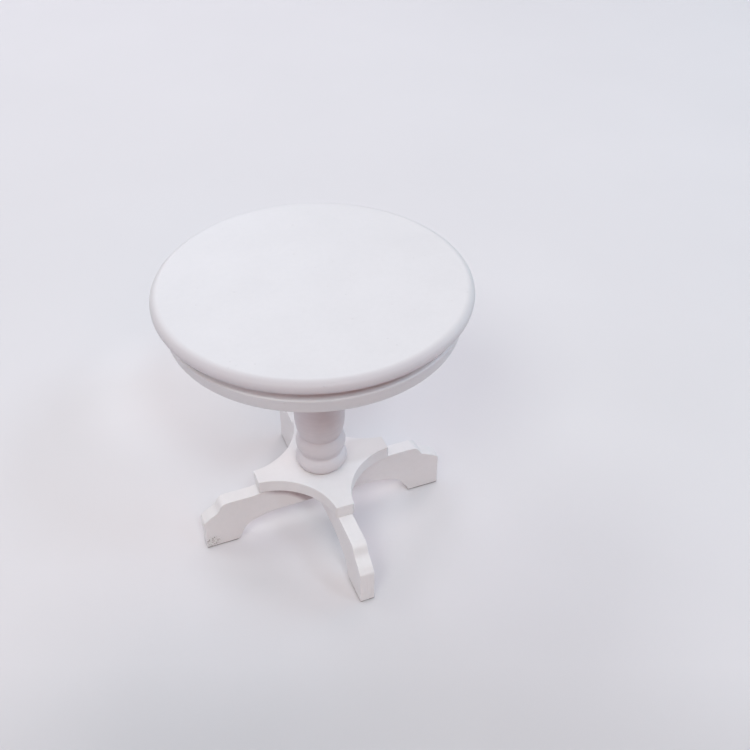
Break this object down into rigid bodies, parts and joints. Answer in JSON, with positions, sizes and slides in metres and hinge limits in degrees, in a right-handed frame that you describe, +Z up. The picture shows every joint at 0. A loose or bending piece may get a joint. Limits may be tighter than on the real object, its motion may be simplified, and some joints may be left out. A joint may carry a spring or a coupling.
{
  "type": "miniature dining table",
  "caption": "Round dolls' house dining table in white painted wood: stepped moulded top on a turned pedestal column, cross plate and sawn legs with arched undersides.",
  "frame": {"origin": "on the floor, under the middle of the column", "axes": "+Z up along the column; the right leg lies along +X, the back leg along +Y, the left leg along -X and the front leg along -Y"},
  "size_m": [0.062, 0.062, 0.0638],
  "materials": {
    "paint_top": "satin white paint on wood",
    "paint_column": "satin white paint on turned wood",
    "paint_base": "satin white paint on sawn wood"
  },
  "bodies": {
    "root": {"table_top": "paint_top", "under_moulding": "paint_top", "pedestal_column": "paint_column", "cross_plate": "paint_base", "front_leg": "paint_base", "right_leg": "paint_base", "back_leg": "paint_base", "left_leg": "paint_base"}
  },
  "joints": []
}
